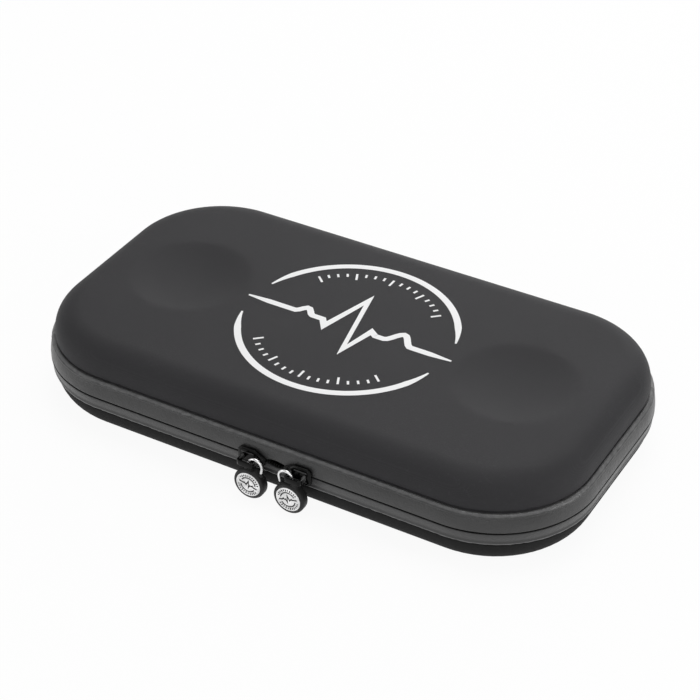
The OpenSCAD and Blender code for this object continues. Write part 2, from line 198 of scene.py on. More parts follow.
def addObject(name, data):
    made = bpy.data.objects.new(name, data)
    bpy.context.scene.collection.objects.link(made)
    return made


def vertsOf(made):
    return [g for g in made["geom"] if isinstance(g, bmesh.types.BMVert)]


def bevelEdges(bm, edges, offset, segments=2):
    bmesh.ops.bevel(bm, geom=edges, offset=offset, affect="EDGES", segments=segments,
                    profile=0.5, material=-1)


def outward(bm):
    bmesh.ops.recalc_face_normals(bm, faces=bm.faces)


def extrudeStep(bm, edges, move):
    # draws an edge chain on by one step and hands back its new end
    made = bmesh.ops.extrude_edge_only(bm, edges=edges)
    fresh = vertsOf(made)
    bmesh.ops.translate(bm, vec=move, verts=fresh)
    ends = set(fresh)
    return [g for g in made["geom"] if isinstance(g, bmesh.types.BMEdge)
            and g.verts[0] in ends and g.verts[1] in ends]


def extrudeBar(bm, ring, move, count):
    # a straight capped bar, its closed section drawn on by equal steps
    verts = [bm.verts.new(point) for point in ring]
    edges = [bm.edges.new(pair) for pair in zip(verts, verts[1:] + verts[:1])]
    bm.faces.new(verts)
    for _ in range(count):
        edges = extrudeStep(bm, edges, Vector(move) / count)
    bmesh.ops.contextual_create(bm, geom=edges)
    merged(bm)


def extrudeFaces(bm, faces, move):
    made = bmesh.ops.extrude_face_region(bm, geom=faces)
    bmesh.ops.translate(bm, vec=move, verts=vertsOf(made))
    return made["geom"]


def keepPiece(bm, name, body, nodes, material, sharp, place=None):
    # puts a finished bmesh into the scene, rides it and stands it for its CAD nodes
    if place is not None:
        bm.transform(place)
        if place.determinant() < 0:
            bmesh.ops.reverse_faces(bm, faces=bm.faces)
    bm.transform(Matrix.Scale(mm, 4) @ Matrix.Translation((0, 0, case["below"])))
    mesh = bpy.data.meshes.new(name)
    bm.to_mesh(mesh)
    bm.free()
    mesh.shade_smooth()
    mesh.set_sharp_from_angle(angle=radians(sharp))
    mesh.materials.append(material)
    piece = addObject(name, mesh)
    if body:
        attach(piece, body)
    if nodes:
        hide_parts(*nodes)
    return piece


def roundBox(bm, low, high, bevel, segments=2):
    size = Vector(high) - Vector(low)
    middle = (Vector(high) + Vector(low)) / 2
    place = Matrix.Translation(middle) @ Matrix.Diagonal((*size, 1))
    verts = bmesh.ops.create_cube(bm, size=1, matrix=place)["verts"]
    bevelEdges(bm, list({edge for vert in verts for edge in vert.link_edges}), bevel, segments)


def curveTube(bm, points, radius, sides):
    curve = bpy.data.curves.new("path", "CURVE")
    curve.dimensions = "3D"
    curve.bevel_depth = radius
    curve.bevel_resolution = max(0, sides // 2 - 2)
    curve.use_fill_caps = True
    spline = curve.splines.new("POLY")
    spline.points.add(len(points) - 1)
    spline.points.foreach_set("co", [c for p in points for c in (*p, 1)])
    holder = addObject("path", curve)
    bpy.context.view_layer.update()
    mesh = bpy.data.meshes.new_from_object(
        holder.evaluated_get(bpy.context.evaluated_depsgraph_get()))
    bm.from_mesh(mesh)
    bpy.data.objects.remove(holder)
    bpy.data.curves.remove(curve)
    bpy.data.meshes.remove(mesh)


def stitch(bm, place, along, out, size):
    # one thread stitch lying on a face: along its length, out of the face
    x = along.normalized()
    z = out.normalized()
    turn = Matrix((x, z.cross(x), z)).transposed().to_4x4()
    long, wide, proud = size
    matrix = Matrix.Translation(place) @ turn @ Matrix.Diagonal((long, wide, proud, 1))
    bmesh.ops.create_uvsphere(bm, u_segments=6, v_segments=5, radius=0.5,
                              matrix=matrix @ Matrix.Rotation(pi / 2, 4, "Y"))


def addNode(tree, kind, ins=(), **settings):
    made = tree.nodes.new("ShaderNode" + kind)
    for key, value in settings.items():
        setattr(made, key, value)
    for key, value in (ins.items() if isinstance(ins, dict) else enumerate(ins)):
        if isinstance(value, bpy.types.NodeSocket):
            tree.links.new(value, made.inputs[key])
        elif value is not None:
            made.inputs[key].default_value = value
    return made


def maths(tree, operation, *values):
    return addNode(tree, "Math", values, operation=operation).outputs[0]


def times(tree, a, b):
    return maths(tree, "MULTIPLY", a, b)


def plus(tree, a, b):
    return maths(tree, "ADD", a, b)


def mixColour(tree, factor, a, b):
    return addNode(tree, "Mix", {0: factor, 6: a, 7: b}, data_type="RGBA").outputs[2]


def remap(tree, value, low, high, to0=0.0, to1=1.0):
    return addNode(tree, "MapRange", (value, low, high, to0, to1)).outputs[0]


def grey(level, tint=(1, 1, 1)):
    # a screen grey from 0 to 255 as a linear colour
    s = level / 255
    v = s / 12.92 if s < 0.04045 else ((s + 0.055) / 1.055) ** 2.4
    return (v * tint[0], v * tint[1], v * tint[2], 1)


def newGroup(name, inputs, outputs):
    group = bpy.data.node_groups.new(name, "ShaderNodeTree")
    for label, kind, value in inputs:
        socket = group.interface.new_socket(name=label, in_out="INPUT", socket_type=kind)
        if value is not None:
            socket.default_value = value
    for label, kind in outputs:
        group.interface.new_socket(name=label, in_out="OUTPUT", socket_type=kind)
    return group, group.nodes.new("NodeGroupInput").outputs, group.nodes.new("NodeGroupOutput")


def weaveGroup():
    # threads crossing on flat faces and on walls, without a seam, and the fuzz on them
    group, ins, out = newGroup("fabricWeave", [
        ("Vector", "NodeSocketVector", None), ("Threads", "NodeSocketFloat", 1500.0),
        ("Fuzz", "NodeSocketFloat", 0.5), ("Facing", "NodeSocketVector", None)],
        [("Height", "NodeSocketFloat"), ("Shade", "NodeSocketFloat")])
    scaled = addNode(group, "VectorMath", {0: ins[0], 3: times(group, ins[1], tau)},
                     operation="SCALE").outputs[0]
    axes = addNode(group, "SeparateXYZ", (scaled,)).outputs
    x, y, z = (maths(group, "SINE", axis) for axis in axes)
    up = addNode(group, "SeparateXYZ", (ins[3],)).outputs[2]
    flat = remap(group, maths(group, "ABSOLUTE", up), 0.55, 0.85)
    onFlat = times(group, times(group, x, y), flat)
    onWall = times(group, times(group, plus(group, x, y), z), maths(group, "SUBTRACT", 1.0, flat))
    weave = plus(group, onFlat, onWall)
    fuzz = addNode(group, "TexNoise", {"Vector": ins[0], "Detail": 3.0, "Roughness": 0.6,
                                       "Scale": times(group, ins[1], 0.8)}).outputs[0]
    height = maths(group, "MULTIPLY_ADD", fuzz, ins[2], times(group, weave, 0.4))
    group.links.new(height, out.inputs[0])
    group.links.new(remap(group, height, -0.4, 1.2), out.inputs[1])
    return group


def ageGroup():
    # broad uneven tone, and small scuffs
    group, ins, out = newGroup("ageMarks", [
        ("Vector", "NodeSocketVector", None), ("Broad", "NodeSocketFloat", 18.0),
        ("Fine", "NodeSocketFloat", 240.0)],
        [("Tone", "NodeSocketFloat"), ("Scuff", "NodeSocketFloat")])
    broad = addNode(group, "TexNoise", {"Vector": ins[0], "Scale": ins[1],
                                        "Detail": 4.0}).outputs[0]
    fine = addNode(group, "TexNoise", {"Vector": ins[0], "Scale": ins[2], "Detail": 5.0,
                                       "Roughness": 0.7}).outputs[0]
    group.links.new(remap(group, broad, 0.3, 0.7), out.inputs[0])
    scuff = times(group, remap(group, fine, 0.56, 0.72), remap(group, broad, 0.45, 0.65))
    group.links.new(scuff, out.inputs[1])
    return group


def ribGroup():
    # ribs of a ribbon or an elastic, along or across it
    group, ins, out = newGroup("ribbonRibs", [
        ("Vector", "NodeSocketVector", None), ("Ribs", "NodeSocketFloat", 1100.0),
        ("Threads", "NodeSocketFloat", 2600.0)],
        [("Height", "NodeSocketFloat"), ("Shade", "NodeSocketFloat")])
    axes = addNode(group, "SeparateXYZ", (ins[0],)).outputs
    rib = maths(group, "SINE", times(group, axes[0], times(group, ins[1], pi)))
    rib = maths(group, "ABSOLUTE", rib)
    thread = maths(group, "SINE", times(group, axes[1], times(group, ins[2], tau)))
    height = maths(group, "MULTIPLY_ADD", thread, 0.18, rib)
    group.links.new(height, out.inputs[0])
    group.links.new(remap(group, height, 0.0, 1.1), out.inputs[1])
    return group


weaveNodes, ageNodes, ribNodes = weaveGroup(), ageGroup(), ribGroup()


def useGroup(tree, group, **ins):
    made = tree.nodes.new("ShaderNodeGroup")
    made.node_tree = group
    for key, value in ins.items():
        if isinstance(value, bpy.types.NodeSocket):
            tree.links.new(value, made.inputs[key])
        else:
            made.inputs[key].default_value = value
    return made.outputs


def newMaterial(name, **fixed):
    material = bpy.data.materials.new(name)
    material.use_nodes = True
    tree = material.node_tree
    shader = tree.nodes["Principled BSDF"]
    for key, value in fixed.items():
        label = "".join((" " + c) if c.isupper() else c for c in key)
        label = (label[0].upper() + label[1:]).replace("I O R", "IOR")
        shader.inputs[label].default_value = value
    coords = addNode(tree, "TexCoord").outputs
    return material, tree, shader, coords


def setBump(tree, shader, height, strength, distance):
    bump = addNode(tree, "Bump", {"Strength": strength, "Distance": distance, "Height": height})
    tree.links.new(bump.outputs[0], shader.inputs["Normal"])


def clothMaterial(name, level, tint, threads, fuzz, bump, rough, sheen, spread=0.16, gloss=0.3):
    # threads are counted to the metre, levels are screen greys
    material, tree, shader, coords = newMaterial(
        name, sheenWeight=sheen, sheenRoughness=0.45, specularIORLevel=gloss)
    weave = useGroup(tree, weaveNodes, Vector=coords["Object"], Threads=threads, Fuzz=fuzz,
                     Facing=coords["Normal"])
    age = useGroup(tree, ageNodes, Vector=coords["Object"], Broad=14.0, Fine=threads * 0.2)
    light, dark = grey(level * (1 + spread), tint), grey(level * (1 - spread), tint)
    tone = maths(tree, "MULTIPLY_ADD", weave[1], 0.7, times(tree, age[0], 0.3))
    colour = mixColour(tree, tone, dark, light)
    dusty = mixColour(tree, times(tree, age[1], 0.12), colour, grey(level + 40, tint))
    tree.links.new(dusty, shader.inputs["Base Color"])
    tree.links.new(remap(tree, weave[1], 0, 1, rough + 0.08, rough - 0.08),
                   shader.inputs["Roughness"])
    setBump(tree, shader, weave[0], bump, 0.0002)
    return material


def coatedMaterial(name, level, tint):
    # polyurethane film over the tape: a fine leathery grain and a soft gloss
    material, tree, shader, coords = newMaterial(name, specularIORLevel=0.55)
    object = coords["Object"]
    age = useGroup(tree, ageNodes, Vector=object, Broad=30.0, Fine=520.0)
    pores = addNode(tree, "TexVoronoi", {"Vector": object, "Scale": 1500.0}).outputs[0]
    creases = addNode(tree, "TexNoise", {"Vector": object, "Scale": 380.0, "Detail": 5.0,
                                         "Roughness": 0.55}).outputs[0]
    colour = mixColour(tree, age[0], grey(level * 0.9, tint), grey(level * 1.1, tint))
    colour = mixColour(tree, times(tree, age[1], 0.35), colour, grey(level + 45, tint))
    # painted highlight: the film is painted paler along the rolled edges beside both seams, where
    # they catch the light
    z = addNode(tree, "SeparateXYZ", (object,)).outputs[2]
    ridgeHighlight = 0.0
    for ridge, reach in ((case["below"] + 9.0, 0.65), (case["below"] - 6.5, 0.6)):
        off = maths(tree, "ABSOLUTE", maths(tree, "SUBTRACT", z, ridge * mm))
        ridgeHighlight = plus(tree, remap(tree, off, reach * mm, reach * 0.4 * mm), ridgeHighlight)
    ridgeHighlight = times(tree, ridgeHighlight, remap(tree, creases, 0.3, 0.7, 0.35, 0.75))
    colour = mixColour(tree, ridgeHighlight, colour, grey(level + 62, tint))
    tree.links.new(colour, shader.inputs["Base Color"])
    rough = maths(tree, "MULTIPLY_ADD", age[0], 0.1, 0.29)
    tree.links.new(maths(tree, "MULTIPLY_ADD", age[1], 0.2, rough), shader.inputs["Roughness"])
    setBump(tree, shader, maths(tree, "MULTIPLY_ADD", pores, 0.5, creases), 0.8, 0.00026)
    return material


def ribbonMaterial(name, level, ribs, threads, uv="along"):
    material, tree, shader, coords = newMaterial(
        name, sheenWeight=0.15, sheenRoughness=0.4, specularIORLevel=0.35)
    vector = addNode(tree, "UVMap", uv_map=uv).outputs[0] if uv else coords["Object"]
    rib = useGroup(tree, ribNodes, Vector=vector, Ribs=ribs, Threads=threads)
    age = useGroup(tree, ageNodes, Vector=coords["Object"], Broad=24.0, Fine=600.0)
    colour = mixColour(tree, rib[1], grey(level * 0.6), grey(level * 1.15))
    colour = mixColour(tree, times(tree, age[1], 0.2), colour, grey(level + 40))
    tree.links.new(colour, shader.inputs["Base Color"])
    tree.links.new(remap(tree, rib[1], 0, 1, 0.85, 0.58), shader.inputs["Roughness"])
    setBump(tree, shader, rib[0], 0.6, 0.00025)
    return material


def hardMaterial(name, level, rough, metallic=0.0, coat=0.0, grain=900.0, bump=0.15, wear=0.5,
                 bright=60, gloss=0.5):
    # cast, plated or moulded pieces: fine casting grain, and paler edges, which are wear together
    # with a painted highlight, on the black metal mostly the painted highlight
    material, tree, shader, coords = newMaterial(name, coatWeight=coat, coatRoughness=0.15,
                                                 specularIORLevel=gloss)
    object = coords["Object"]
    age = useGroup(tree, ageNodes, Vector=object, Broad=160.0, Fine=1500.0)
    # wear and painted highlight: edges picked out by pointiness are painted paler
    edge = addNode(tree, "NewGeometry").outputs["Pointiness"]
    wornAndLitEdges = times(tree, remap(tree, age[0], 0, 1, 0.35, 1), wear)
    wornAndLitEdges = times(tree, remap(tree, edge, 0.55, 0.63), wornAndLitEdges)
    colour = mixColour(tree, age[0], grey(level * 0.9), grey(level * 1.1))
    colour = mixColour(tree, wornAndLitEdges, colour, grey(level + bright))
    tree.links.new(colour, shader.inputs["Base Color"])
    rough = maths(tree, "MULTIPLY_ADD", age[0], 0.08, rough)
    tree.links.new(maths(tree, "MULTIPLY_ADD", age[1], 0.15, rough), shader.inputs["Roughness"])
    shader.inputs["Metallic"].default_value = metallic
    fine = addNode(tree, "TexNoise", {"Vector": object, "Scale": grain * 3,
                                      "Detail": 4.0}).outputs[0]
    setBump(tree, shader, fine, bump, 0.0001)
    return material


def netMaterial(name, level, pitch, open):
    # a hexagonal knitted net, its holes cut out with alpha
    material, tree, shader, coords = newMaterial(name, sheenWeight=0.15, specularIORLevel=0.4)
    vector = addNode(tree, "VectorMath", {0: coords["Object"], 3: 1 / pitch},
                     operation="SCALE").outputs[0]
    axes = addNode(tree, "SeparateXYZ", (vector,)).outputs
    waves = []
    for turn in (0, 1, 2):
        a = radians(60 * turn + 15)
        across = plus(tree, times(tree, axes[0], cos(a)), times(tree, axes[1], sin(a)))
        waves.append(maths(tree, "COSINE", times(tree, across, tau)))
    total = plus(tree, waves[0], plus(tree, waves[1], waves[2]))
    strand = remap(tree, total, open, open - 0.25)
    colour = mixColour(tree, remap(tree, total, -1.5, open), grey(level * 1.2), grey(level * 0.7))
    tree.links.new(colour, shader.inputs["Base Color"])
    shader.inputs["Roughness"].default_value = 0.6
    tree.links.new(strand, shader.inputs["Alpha"])
    setBump(tree, shader, times(tree, total, -0.3), 0.5, 0.0003)
    return material


plain = (1, 1, 1)
looks = {
    "lidCover": clothMaterial("lidCoverCloth", 36, (1.03, 1.0, 1.11), threads=2100.0, fuzz=0.8,
                              bump=0.3, rough=0.66, sheen=0.03),
    "baseCover": clothMaterial("baseCoverCloth", 26, plain, threads=2100.0, fuzz=0.8, bump=0.25,
                               rough=0.75, sheen=0.0, gloss=0.14),
    "lining": clothMaterial("brushedLining", 66, (0.98, 1, 1.05), threads=700.0, fuzz=2.2,
                            bump=1.0, rough=0.92, sheen=0.35),
    "tape": coatedMaterial("coatedTape", 50, (1, 1, 1.01)),
    "coil": hardMaterial("nylonCoil", 20, rough=0.42, grain=1500.0, wear=0.25, bright=50),
    "ribbon": ribbonMaterial("grosgrainRibbon", 40, ribs=1150.0, threads=2600.0),
    "elastic": ribbonMaterial("ribbedElastic", 42, ribs=620.0, threads=1300.0, uv=None),
    "hem": ribbonMaterial("hemElastic", 42, ribs=900.0, threads=1300.0, uv=None),
    "net": netMaterial("knittedNet", 58, pitch=0.0021, open=0.35),
    "thread": clothMaterial("sewingThread", 74, plain, threads=4000.0, fuzz=0.6, bump=0.5,
                            rough=0.6, sheen=0.2),
    # the black metal's bright edges are a painted highlight standing in for thin edge glints
    "blackMetal": hardMaterial("blackCastMetal", 4, rough=0.15, wear=0.9, bright=120, gloss=0.15),
    "wire": hardMaterial("nickelWire", 232, rough=0.26, metallic=1.0, wear=0.1, bump=0.05,
                         bright=20),
    "rubber": hardMaterial("softRubber", 24, rough=0.48, grain=1400.0, bump=0.3, wear=0.35,
                           bright=50, gloss=0.35),
    "badge": hardMaterial("badgeWhite", 251, rough=0.38, coat=0.2, wear=0.0, bump=0.1, bright=8),
    "badgeInk": hardMaterial("badgeInk", 18, rough=0.45, wear=0.1, bump=0.1, bright=40, gloss=0.3),
    "print": clothMaterial("printInk", 240, plain, threads=1500.0, fuzz=0.6, bump=0.22,
                           rough=0.62, sheen=0.0, spread=0.03),
}
print("materials made")


# inset of the wall, height where the shoulder springs, its reach inwards and its rise
lid = {"wall": 3.0, "spring": 11.8, "reach": 14.5, "rise": 13.2, "height": case["above"]}
base = {"wall": 1.8, "spring": 11, "reach": 12.6, "rise": 9.5, "height": case["below"]}
dish = {"place": 90, "radius": 30.5, "depth": 3.7, "edge": 1.1}


def pucker(x, y, pitch, amount, seed):
    # small uneven puckers along a sewn edge
    along = alongAt(x, y)
    return amount * (noise.noise(Vector((along / pitch, seed, 0)))
                     + 0.5 * noise.noise(Vector((along / pitch * 2.7, seed + 9, 0))))


def sinkDishes(bm):
    # two round hollows in the flat of the lid
    for vert in bm.verts:
        x, y, z = vert.co
        for side in (-1, 1):
            r = sqrt((x - side * dish["place"]) ** 2 + y * y) / dish["radius"]
            if z > lid["height"] - 6 and r < 1:
                vert.co.z -= dish["depth"] * (1 - r * r) ** dish["edge"]


def insideLine(shell, depth, steps):
    # across a shell at a depth under its skin, from the rim to the edge of the flat middle
    edge = shell["wall"] + depth
    return ([(edge, case["rim"])]
            + shoulder(edge, shell["spring"], shell["reach"] - depth, shell["rise"] - depth,
                       steps=steps)
            + flatRun(shell["wall"] + shell["reach"], shell["height"] - depth))


def lidCover():
    tape, top = case["lidTape"], lid["height"]
    outer = [(bulge(h, tape) + case["behindTape"], h) for h in (case["rim"], 7.8, 8.8)]
    outer += [(4.8, 9.9), (5.0, 10.2), (4.5, 10.45), (3.6, 10.5), (3.1, 10.7), (2.93, 11.15)]
    outer += shoulder(2.95, lid["spring"], lid["reach"] + 0.05, lid["rise"], steps=16)
    outer += flatRun(17.5, top, 2.4)
    bm = sweepRound(outer[::-1] + insideLine(lid, case["wall"], 8), wholeRoute, step=2.2, turns=26)
    middleSlab(bm, top, 2.2)
    middleSlab(bm, top - case["wall"], 2.2)
    merged(bm, 0.01)
    sinkDishes(bm)
    for vert in bm.verts:
        if 10.2 < vert.co.z < 11.2:
            vert.co.z += pucker(vert.co.x, vert.co.y, 3.4, 0.32, 3)
    addRouteUv(bm)
    keepPiece(bm, "lidCover", "lid", ["lid_shell"], looks["lidCover"], sharp=60)


def baseCover():
    tape, bottom = case["baseTape"], base["height"]
    outer = [(bulge(h, tape) + case["behindTape"], h) for h in (case["rim"], 6.4)]
    outer += [(2.6, 6.9), (2.5, 7.2), (2.15, 7.4), (1.85, 7.65), (1.7, 8.0)]
    outer += shoulder(1.7, 8.5, 7.6, 12, lean=2.2)
    outer += flatRun(11.5, bottom)
    profile = outer[::-1] + insideLine(base, case["wall"], 8)
    bm = sweepRound([(inset, -height) for inset, height in profile], wholeRoute)
    middleSlab(bm, -bottom)
    middleSlab(bm, case["wall"] - bottom)
    merged(bm, 0.01)
    for vert in bm.verts:
        if -8.1 < vert.co.z < -7.3:
            vert.co.z += pucker(vert.co.x, vert.co.y, 3.4, 0.15, 5)
    addRouteUv(bm)
    keepPiece(bm, "baseCover", "base", ["base_shell"], looks["baseCover"], sharp=60)


def lining(name, body, node, shell, flip):
    # brushed cloth inside a shell, just clear of its wall
    near, deep = case["wall"] + 0.04, case["wall"] + case["lining"]
    profile = insideLine(shell, near, 10)[::-1] + insideLine(shell, deep, 10)
    bm = sweepRound([(inset, flip * height) for inset, height in profile], wholeRoute)
    for depth in (near, deep):
        middleSlab(bm, flip * (shell["height"] - depth))
    merged(bm, 0.01)
    sinkDishes(bm)
    addRouteUv(bm)
    keepPiece(bm, name, body, [node], looks["lining"], sharp=60)


lidCover()
baseCover()
lining("lidLining", "lid", "lid_lining", lid, 1)
lining("baseLining", "base", "base_lining", base, -1)
print("shells made")


seam = {"pitch": 3.1, "thread": (2.3, 0.42, 0.34)}
up = Vector((0, 0, 1))


def sewRound(bm, route, measured, inset, height, facing):
    # stitches along a route, spaced over its length at one inset and laid at another
    total = sum(legLength(leg, measured) for leg in route)
    count = round(total / seam["pitch"])
    for i in range(count):
        place, out = routePoint(route, total * (i + 0.5) / count, inset)
        place.z = height
        stitch(bm, place, out.cross(up), facing or -out, seam["thread"])


def binding(name, body, node, edge, inside, flip):
    # ribbon folded over a cut rim: outer end, round the rim, down the lining's face
    top = case["rim"]
    profile = [(edge, top), (edge, top - 0.3), (edge + 0.15, top - 0.48), (edge + 0.45, top - 0.55),
               (inside, top - 0.55), (inside + 0.35, top - 0.42), (inside + 0.52, top - 0.1),
               (inside + 0.52, 9.9), (inside + 0.46, 10.45), (inside + 0.25, 10.6),
               (inside + 0.04, 10.5), (inside + 0.04, top)]
    bm = sweepRound([(inset, flip * height) for inset, height in profile], wholeRoute, closed=True)
    merged(bm)
    addRouteUv(bm)
    keepPiece(bm, name, body, [node], looks["ribbon"], sharp=50)
    bm = bmesh.new()
    sewRound(bm, wholeRoute, inside, inside + 0.56, flip * 9.0, None)
    keepPiece(bm, name + "Seam", body, [], looks["thread"], sharp=80)


binding("lidBinding", "lid", "lid_binding", 2.1, 7.4, 1)
binding("baseBinding", "base", "base_binding", 1.95, 6.2, -1)


parted = {"middle": 8.3, "reach": 8.0, "open": 1.8}


def partedBy(x, y):
    # the zip stands open between the two sliders' mouths
    off = abs(x - parted["middle"]) / parted["reach"]
    return parted["open"] * (1 - off * off) ** 2 if y < 0 and off < 1 else 0


def tapeFace(tape):
    # from the zip out to the rolled edge that is sewn to the cover
    face = [(bulge(h, tape), h) for h in (1.6, 2.1, 2.6, 3.6, 4.6)]
    if tape == case["lidTape"]:
        face += [(bulge(h, tape), h) for h in (5.6, 6.6, 7.2)]
        face += [(0.98, 7.6), (0.92, 7.9), (1.15, 8.35), (1.65, 8.85), (2.25, 9.25), (2.9, 9.4),
                 (3.5, 9.3), (3.6, 8.9)]
    else:
        face += [(0.82, 5.1), (0.62, 5.6), (0.55, 6.1), (0.72, 6.6), (1.15, 6.95), (1.75, 7.05),
                 (2.25, 6.8), (2.3, 6.3)]
    return face


def tapeBack(tape):
    heights = (8.0, 6.4, 4.2) if tape == case["lidTape"] else (5.6, 4.2)
    return [(bulge(h, tape) + 0.9, h) for h in heights]


def ruffle(vert, flip):
    # puckers along the sewn edge, long waves in the rest
    x, y, z = vert.co
    seed = 1 if flip > 0 else 2
    sewn = min(1, max(0, (abs(z) - (7.3 if flip > 0 else 5.6)) / 1.2))
    vert.co.z += sewn * flip * pucker(x, y, 3.1, 0.34, seed)
    vert.co.xy *= 1 + sewn * pucker(x, y, 2.3, 0.0012, seed + 4)
    vert.co.xy *= 1 + (1 - sewn) * pucker(x, y, 16, 0.0006, seed + 8)


def zipTape(name, body, node, tape, flip):
    outer = [(0.62, 0.5), (0.12, 0.46), (0.0, 0.6), (0.0, 0.95)] + tapeFace(tape)
    inner = tapeBack(tape) + [(1.3, 3.4), (1.32, 2.0), (1.25, 0.7), (1.0, 0.5)]
    profile = [(inset, flip * height) for inset, height in outer + inner]
    bm = sweepRound(profile, zipRoute, step=1.5, turns=40, closed=True, caps=True)
    merged(bm)
    for vert in bm.verts:
        x, y, z = vert.co
        ruffle(vert, flip)
        vert.co.z += flip * partedBy(x, y) * max(0, 1 - abs(z) / 4.2)
    addRouteUv(bm)
    keepPiece(bm, name, body, [node], looks["tape"], sharp=60)


zipTape("upperTape", "lid", "lid_zip_tape", case["lidTape"], 1)
zipTape("lowerTape", "base", "base_zip_tape", case["baseTape"], -1)

coil = {"pitch": 1.27, "middle": 2.4, "deep": 0.72, "tall": 0.98, "thread": 0.32, "perTurn": 9}


def zipCoil(name, body, node, flip):
    total = sum(legLength(leg, coil["middle"]) for leg in zipRoute) - 2
    turns = int(total / coil["pitch"])
    points = []
    for i in range(turns * coil["perTurn"] + 1):
        a = tau * i / coil["perTurn"]
        place, out = routePoint(zipRoute, 1 + total * i / (turns * coil["perTurn"]), coil["middle"])
        place += out * cos(a) * coil["deep"]
        place.z = flip * (1.8 + 0.7 * partedBy(place.x, place.y) + coil["tall"] * sin(a))
        points.append(place)
    bm = bmesh.new()
    curveTube(bm, points, coil["thread"], sides=6)
    outward(bm)
    keepPiece(bm, name, body, [node], looks["coil"], sharp=80)


zipCoil("upperCoil", "lid", "lid_zip_coil", 1)
zipCoil("lowerCoil", "base", "base_zip_coil", -1)


def hingeSpine():
    # one strip of the coated cloth along the back, running from the lid's tape down to the base's
    # tape
    lidTape, baseTape = case["lidTape"], case["baseTape"]
    bend = (1.6, 1.1, 0.5)
    line = tapeFace(lidTape)[::-1] + [(bulge(h, lidTape), h) for h in bend[1:]]
    line += [(0.0, 0.0)] + [(bulge(h, baseTape), -h) for h in bend[:0:-1]]
    line += [(inset, -h) for inset, h in tapeFace(baseTape)]
    back = [(inset, -h) for inset, h in tapeBack(baseTape)]
    back += [(bulge(h, baseTape) + 0.88, -h) for h in (3.2, 2.4) + bend] + [(0.88, 0.0)]
    back += [(bulge(h, lidTape) + 0.88, h) for h in bend[::-1] + (2.4, 3.2)]
    back += tapeBack(lidTape)[::-1]
    bm = sweepRound(line + back, ["back"], step=1.5, closed=True, caps=True)
    merged(bm)
    for vert in bm.verts:
        ruffle(vert, 1 if vert.co.z > 0 else -1)
    addRouteUv(bm)
    piece = keepPiece(bm, "hingeSpine", None, ["hinge_spine"], looks["tape"],
                      sharp=60)
    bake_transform(piece)


hingeSpine()
print("bindings, tapes, coils and spine made")


strap = {"width": 25, "length": 112, "wall": 1.5, "end": 12, "endWall": 2.3, "floor": -16.1,
         "pitch": 2.6, "thread": (2.0, 0.42, 0.36)}


def elasticStrap():
    bm = bmesh.new()
    half, length = strap["width"] / 2, strap["length"]
    edge = [(-half, 0.1), (-half, strap["wall"] - 0.45), (-half + 0.4, strap["wall"] - 0.05),
            (-half + 1.2, strap["wall"])]
    top = edge + [(-half * 0.5, strap["wall"]), (0, strap["wall"])]
    profile = top + [(-x, z) for x, z in reversed(top[:-1])]
    extrudeBar(bm, [(x, -length / 2, z) for x, z in profile], (0, length, 0), 90)
    for vert in bm.verts:
        x, y, z = vert.co
        end = min(1, max(0, (abs(y) - (length / 2 - strap["end"])) / 1.2))
        wave = 0.22 * noise.noise(Vector((x / 14, y / 9, 4)))
        if z > 0.6:
            vert.co.z += end * (strap["endWall"] - strap["wall"] - 0.1) + (1 - end) * wave
            vert.co.z -= 0.35 * max(0, 1 - abs(abs(y) - (length / 2 - strap["end"] + 2)) / 1.4)
        vert.co.x += 0.25 * noise.noise(Vector((y / 7, 2, 0))) * (1 if x > 0 else -1)
    bmesh.ops.translate(bm, verts=bm.verts, vec=(0, 0, strap["floor"]))
    keepPiece(bm, "elasticStrap", "base", ["elastic_strap"], looks["elastic"], sharp=50)
    bm = bmesh.new()
    z = strap["floor"] + strap["endWall"] - 0.06
    for side in (-1, 1):
        low, high = length / 2 - strap["end"] + 2.2, length / 2 - 1.8
        corners = [(-half + 2, low), (half - 2, low), (half - 2, high), (-half + 2, high)]
        runs = list(zip(corners, corners[1:] + corners[:1])) + [(corners[0], corners[2]),
                                                                (corners[1], corners[3])]
        for a, b in runs:
            a, b = Vector((a[0], side * a[1], z)), Vector((b[0], side * b[1], z))
            many = round((b - a).length / strap["pitch"])
            for i in range(many):
                stitch(bm, a.lerp(b, (i + 0.5) / many), b - a, up, strap["thread"])
    keepPiece(bm, "strapStitches", "base", [], looks["thread"], sharp=80)


elasticStrap()

pocket = {"level": 10.6, "wall": 0.8, "inset": 7.4, "ribbon": 7, "mouth": -28.5, "hem": 6,
          "hemWall": 0.9, "hemReach": 136.6, "sag": 0.9, "gather": 26, "fold": 1.15}
pocketRoute = ["right", "backRight", "back", "backLeft", "left"]


def pocketNet():
    level, inset = pocket["level"] + pocket["wall"] + 0.4, pocket["inset"] + 0.4
    bm = sweepRound([(inset, level)] + flatRun(inset, level, 3.0), pocketRoute)
    middleSlab(bm, level)
    merged(bm, 0.01)
    for vert in bm.verts:
        x, y = vert.co.xy
        side = min(1, (137 - abs(x)) / 40) * min(1, (73 - y) / 40)
        gather = max(0, 1 - (y - pocket["mouth"]) / pocket["gather"])
        fold = sin(x / pocket["fold"] + 0.8 * noise.noise(Vector((x / 9, 1, 0))))
        vert.co.z += 0.35 * gather * fold - pocket["sag"] * max(0, side) * (1 - gather)
    for face in bm.faces:
        if face.normal.z > 0:
            face.normal_flip()
    piece = keepPiece(bm, "pocketNet", "lid", ["pocket_net"], looks["net"], sharp=80)


pocketNet()


